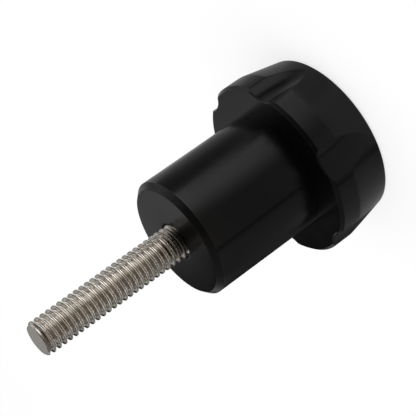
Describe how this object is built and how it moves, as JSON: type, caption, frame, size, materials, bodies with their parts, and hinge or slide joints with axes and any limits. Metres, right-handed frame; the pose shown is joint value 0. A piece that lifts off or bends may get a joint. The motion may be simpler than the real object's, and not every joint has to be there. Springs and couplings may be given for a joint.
{
  "type": "fluted thumb bolt",
  "caption": "Black fluted thumb knob with a tapered head and a long round shank, on a steel threaded stud, for clamping an adjustable seat or bracket by hand.",
  "frame": {"origin": "centre of the knob's flat top, which the part stands on", "axes": "+Z along the bolt's axis, from the flat top to the stud's tip; +X through the middle of a flute"},
  "size_m": [0.0406, 0.0412, 0.0789],
  "materials": {
    "black_plastic": "satin, turned black plastic",
    "stud_steel": "bright rolled thread"
  },
  "bodies": {
    "root": {"knob": "black_plastic", "threaded_stud": "stud_steel"}
  },
  "joints": []
}
